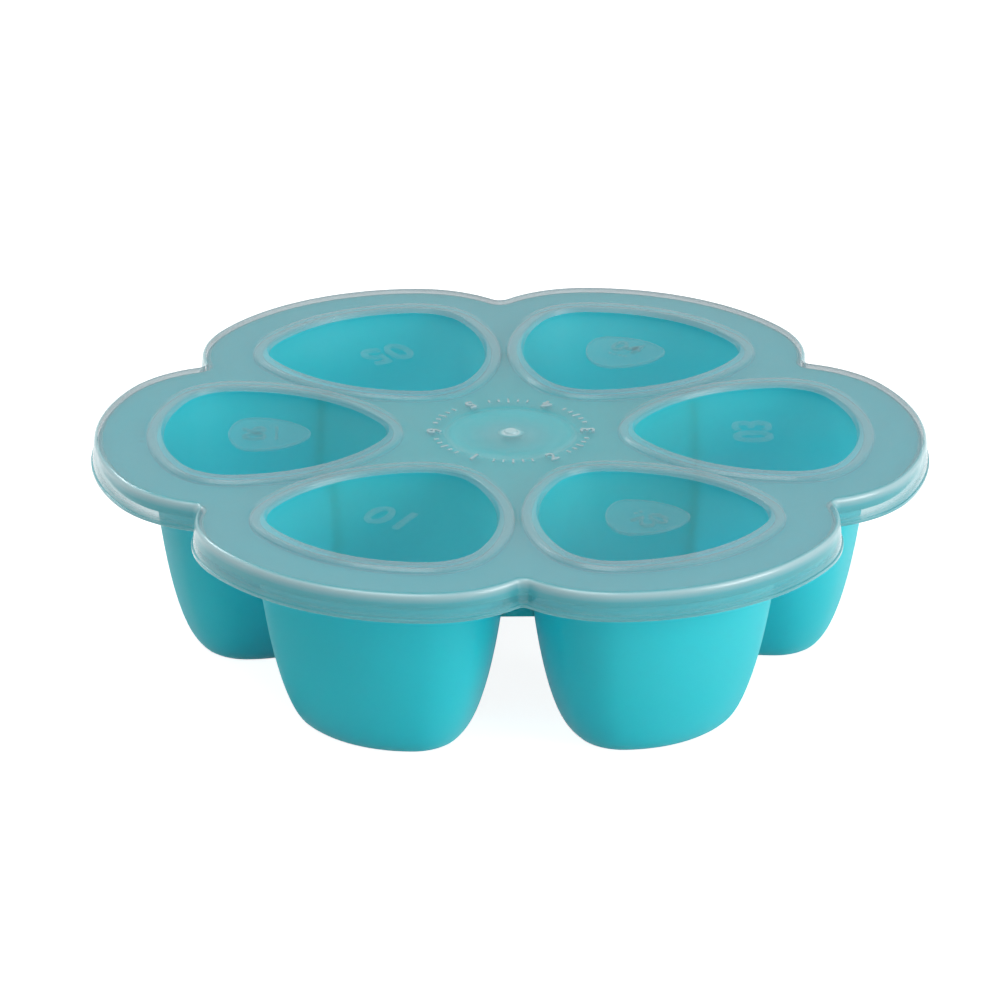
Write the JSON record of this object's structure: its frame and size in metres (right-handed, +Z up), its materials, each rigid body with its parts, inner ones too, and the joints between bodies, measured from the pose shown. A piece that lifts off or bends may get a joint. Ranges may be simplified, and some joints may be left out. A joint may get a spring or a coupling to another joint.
{
  "type": "baby food freezer tray",
  "caption": "Flower-shaped silicone tray of deep rounded-triangle portion cups under one flange, with a translucent drop-on lid that has a sunk window in a raised ring over each cup.",
  "frame": {"origin": "on the plane that the cups stand on, under the middle of the tray", "axes": "+Z up through the middle of the lid; +X towards one cup, so that +X and -X point at opposite cups; +Y between two cups"},
  "size_m": [0.2398, 0.2264, 0.0625],
  "materials": {
    "silicone": "matt moulded silicone",
    "lid_plastic": "frosted translucent polypropylene"
  },
  "bodies": {
    "tray": {"tray": "silicone"},
    "lid": {"lid": "lid_plastic"}
  },
  "joints": [
    {"name": "lid_lift", "type": "slide", "parent": "tray", "child": "lid", "axis": [0, 0, 1], "range_m": [0, 0.08]}
  ]
}
